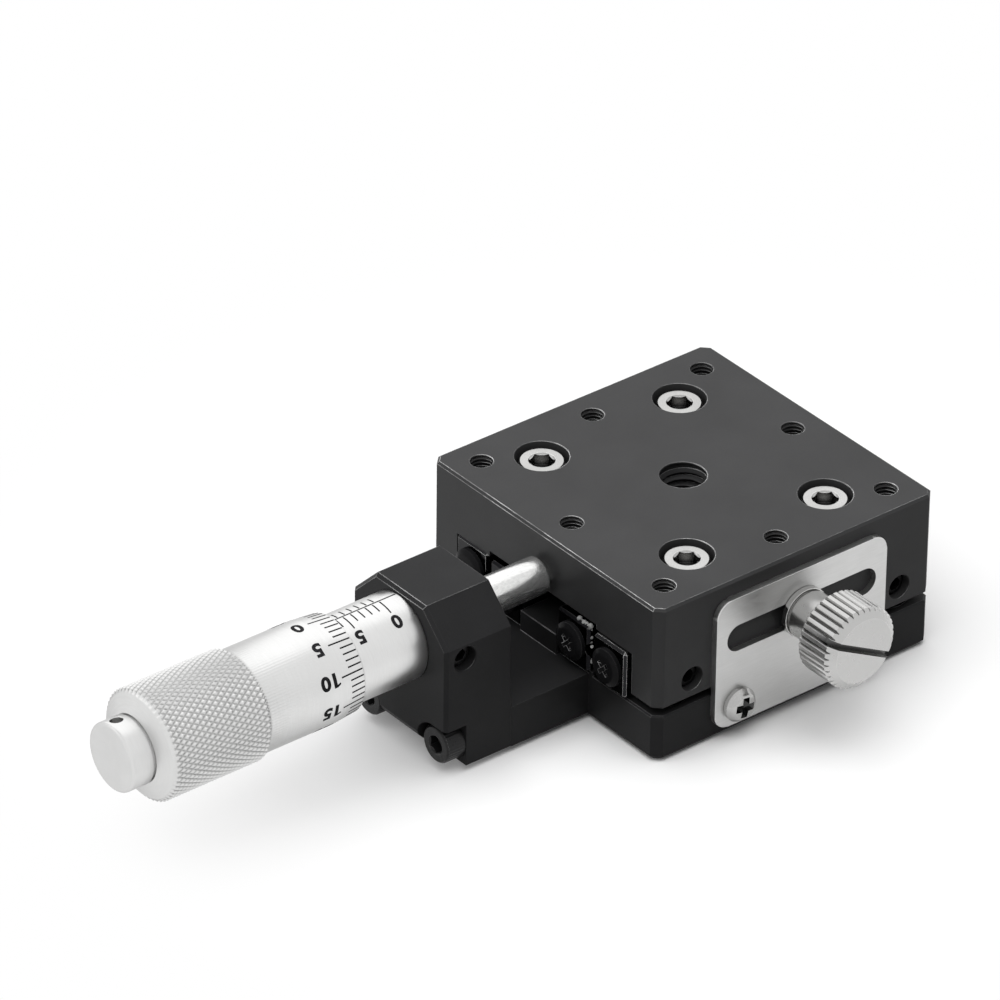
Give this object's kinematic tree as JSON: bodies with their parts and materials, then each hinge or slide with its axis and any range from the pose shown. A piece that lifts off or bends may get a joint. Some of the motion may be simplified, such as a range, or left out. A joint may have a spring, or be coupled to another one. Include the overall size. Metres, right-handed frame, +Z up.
{
  "type": "crossed roller linear stage",
  "caption": "Square crossed roller linear stage with a micrometer head on a bracket at one end, a return spring inside and a side clamp with a fluted knob.",
  "frame": {"origin": "centre of the base plate's underside, with the table at the middle of its travel", "axes": "+X along the travel, away from the micrometer head; +Y away from the clamp; +Z up"},
  "size_m": [0.1011, 0.0513, 0.0216],
  "materials": {
    "black_anodised": "satin black anodised",
    "satin_chrome": "satin chrome plate",
    "ground_steel": "hardened and ground",
    "cage_steel": "stamped sheet",
    "nickel_plated_steel": "nickel plated",
    "black_oxide_steel": "black oxide",
    "stainless_sheet": "matte stainless sheet",
    "bronze": "turned bronze",
    "spring_wire": "drawn wire"
  },
  "bodies": {
    "base": {"base_plate": "black_anodised", "micrometer_bracket": "black_anodised", "bracket_screws": "black_oxide_steel", "sleeve_set_screw": "black_oxide_steel", "base_rail_screws": "nickel_plated_steel", "inner_rail_front": "ground_steel", "inner_rail_rear": "ground_steel", "inner_rail_end_screws": "nickel_plated_steel", "clamp_plate": "stainless_sheet", "clamp_plate_screws": "nickel_plated_steel", "micrometer_sleeve": "satin_chrome", "spindle_nut": "bronze", "spring_post_base": "nickel_plated_steel", "return_spring": "spring_wire"},
    "slide_table": {"table": "black_anodised", "outer_rail_front": "ground_steel", "outer_rail_rear": "ground_steel", "outer_rail_end_screws": "nickel_plated_steel", "table_rail_screws": "nickel_plated_steel", "preload_set_screws": "black_oxide_steel", "spindle_anvil": "ground_steel", "spring_post_table": "nickel_plated_steel"},
    "micrometer_thimble": {"spindle": "ground_steel", "thimble": "satin_chrome", "thimble_cap": "satin_chrome"},
    "front_cage": {"roller_cage_front": "cage_steel"},
    "rear_cage": {"roller_cage_rear": "cage_steel"},
    "washer": {"clamp_washer": "nickel_plated_steel"},
    "knob": {"clamp_knob": "nickel_plated_steel"},
    "front_roller_1": {"roller_front_1": "ground_steel"},
    "front_roller_2": {"roller_front_2": "ground_steel"},
    "front_roller_3": {"roller_front_3": "ground_steel"},
    "front_roller_4": {"roller_front_4": "ground_steel"},
    "front_roller_5": {"roller_front_5": "ground_steel"},
    "front_roller_6": {"roller_front_6": "ground_steel"},
    "front_roller_7": {"roller_front_7": "ground_steel"},
    "rear_roller_1": {"roller_rear_1": "ground_steel"},
    "rear_roller_2": {"roller_rear_2": "ground_steel"},
    "rear_roller_3": {"roller_rear_3": "ground_steel"},
    "rear_roller_4": {"roller_rear_4": "ground_steel"},
    "rear_roller_5": {"roller_rear_5": "ground_steel"},
    "rear_roller_6": {"roller_rear_6": "ground_steel"},
    "rear_roller_7": {"roller_rear_7": "ground_steel"}
  },
  "joints": [
    {"name": "table_travel", "type": "slide", "parent": "base", "child": "slide_table", "axis": [1, 0, 0], "range_m": [-0.0065, 0.0065], "deforming": ["return_spring"]},
    {"name": "thimble_turn", "type": "hinge", "parent": "slide_table", "child": "micrometer_thimble", "pos_m": [-0.0498, 0, 0.015], "axis": [1, 0, 0], "range_deg": [-4680, 4680]},
    {"name": "front_cage_travel", "type": "slide", "parent": "base", "child": "front_cage", "axis": [1, 0, 0], "range_m": [-0.00325, 0.00325]},
    {"name": "rear_cage_travel", "type": "slide", "parent": "base", "child": "rear_cage", "axis": [1, 0, 0], "range_m": [-0.00325, 0.00325]},
    {"name": "washer_travel", "type": "slide", "parent": "slide_table", "child": "washer", "axis": [0, -1, 0], "range_m": [0, 0.0005]},
    {"name": "knob_turn", "type": "hinge", "parent": "washer", "child": "knob", "pos_m": [0, -0.0286, 0.01285], "axis": [0, -1, 0], "range_deg": [0, 360]},
    {"name": "front_roller_1_roll", "type": "hinge", "parent": "front_cage", "child": "front_roller_1", "pos_m": [-0.012, -0.0092, 0.0094], "axis": [0, -0.7071, 0.7071], "range_deg": [-190.2, 190.2]},
    {"name": "front_roller_2_roll", "type": "hinge", "parent": "front_cage", "child": "front_roller_2", "pos_m": [-0.008, -0.0092, 0.0094], "axis": [0, 0.7071, 0.7071], "range_deg": [-190.2, 190.2]},
    {"name": "front_roller_3_roll", "type": "hinge", "parent": "front_cage", "child": "front_roller_3", "pos_m": [-0.004, -0.0092, 0.0094], "axis": [0, -0.7071, 0.7071], "range_deg": [-190.2, 190.2]},
    {"name": "front_roller_4_roll", "type": "hinge", "parent": "front_cage", "child": "front_roller_4", "pos_m": [0, -0.0092, 0.0094], "axis": [0, 0.7071, 0.7071], "range_deg": [-190.2, 190.2]},
    {"name": "front_roller_5_roll", "type": "hinge", "parent": "front_cage", "child": "front_roller_5", "pos_m": [0.004, -0.0092, 0.0094], "axis": [0, -0.7071, 0.7071], "range_deg": [-190.2, 190.2]},
    {"name": "front_roller_6_roll", "type": "hinge", "parent": "front_cage", "child": "front_roller_6", "pos_m": [0.008, -0.0092, 0.0094], "axis": [0, 0.7071, 0.7071], "range_deg": [-190.2, 190.2]},
    {"name": "front_roller_7_roll", "type": "hinge", "parent": "front_cage", "child": "front_roller_7", "pos_m": [0.012, -0.0092, 0.0094], "axis": [0, -0.7071, 0.7071], "range_deg": [-190.2, 190.2]},
    {"name": "rear_roller_1_roll", "type": "hinge", "parent": "rear_cage", "child": "rear_roller_1", "pos_m": [-0.012, 0.0092, 0.0094], "axis": [0, 0.7071, -0.7071], "range_deg": [-190.2, 190.2]},
    {"name": "rear_roller_2_roll", "type": "hinge", "parent": "rear_cage", "child": "rear_roller_2", "pos_m": [-0.008, 0.0092, 0.0094], "axis": [0, -0.7071, -0.7071], "range_deg": [-190.2, 190.2]},
    {"name": "rear_roller_3_roll", "type": "hinge", "parent": "rear_cage", "child": "rear_roller_3", "pos_m": [-0.004, 0.0092, 0.0094], "axis": [0, 0.7071, -0.7071], "range_deg": [-190.2, 190.2]},
    {"name": "rear_roller_4_roll", "type": "hinge", "parent": "rear_cage", "child": "rear_roller_4", "pos_m": [0, 0.0092, 0.0094], "axis": [0, -0.7071, -0.7071], "range_deg": [-190.2, 190.2]},
    {"name": "rear_roller_5_roll", "type": "hinge", "parent": "rear_cage", "child": "rear_roller_5", "pos_m": [0.004, 0.0092, 0.0094], "axis": [0, 0.7071, -0.7071], "range_deg": [-190.2, 190.2]},
    {"name": "rear_roller_6_roll", "type": "hinge", "parent": "rear_cage", "child": "rear_roller_6", "pos_m": [0.008, 0.0092, 0.0094], "axis": [0, -0.7071, -0.7071], "range_deg": [-190.2, 190.2]},
    {"name": "rear_roller_7_roll", "type": "hinge", "parent": "rear_cage", "child": "rear_roller_7", "pos_m": [0.012, 0.0092, 0.0094], "axis": [0, 0.7071, -0.7071], "range_deg": [-190.2, 190.2]}
  ],
  "couplings": [
    {"joint": "thimble_turn", "follows": "table_travel", "rad_per_m": 12566},
    {"joint": "front_cage_travel", "follows": "table_travel", "ratio": 0.5},
    {"joint": "rear_cage_travel", "follows": "table_travel", "ratio": 0.5},
    {"joint": "knob_turn", "follows": "washer_travel", "rad_per_m": 12566},
    {"joint": "front_roller_1_roll", "follows": "table_travel", "rad_per_m": 510.2},
    {"joint": "front_roller_2_roll", "follows": "table_travel", "rad_per_m": 510.2},
    {"joint": "front_roller_3_roll", "follows": "table_travel", "rad_per_m": 510.2},
    {"joint": "front_roller_4_roll", "follows": "table_travel", "rad_per_m": 510.2},
    {"joint": "front_roller_5_roll", "follows": "table_travel", "rad_per_m": 510.2},
    {"joint": "front_roller_6_roll", "follows": "table_travel", "rad_per_m": 510.2},
    {"joint": "front_roller_7_roll", "follows": "table_travel", "rad_per_m": 510.2},
    {"joint": "rear_roller_1_roll", "follows": "table_travel", "rad_per_m": 510.2},
    {"joint": "rear_roller_2_roll", "follows": "table_travel", "rad_per_m": 510.2},
    {"joint": "rear_roller_3_roll", "follows": "table_travel", "rad_per_m": 510.2},
    {"joint": "rear_roller_4_roll", "follows": "table_travel", "rad_per_m": 510.2},
    {"joint": "rear_roller_5_roll", "follows": "table_travel", "rad_per_m": 510.2},
    {"joint": "rear_roller_6_roll", "follows": "table_travel", "rad_per_m": 510.2},
    {"joint": "rear_roller_7_roll", "follows": "table_travel", "rad_per_m": 510.2}
  ]
}
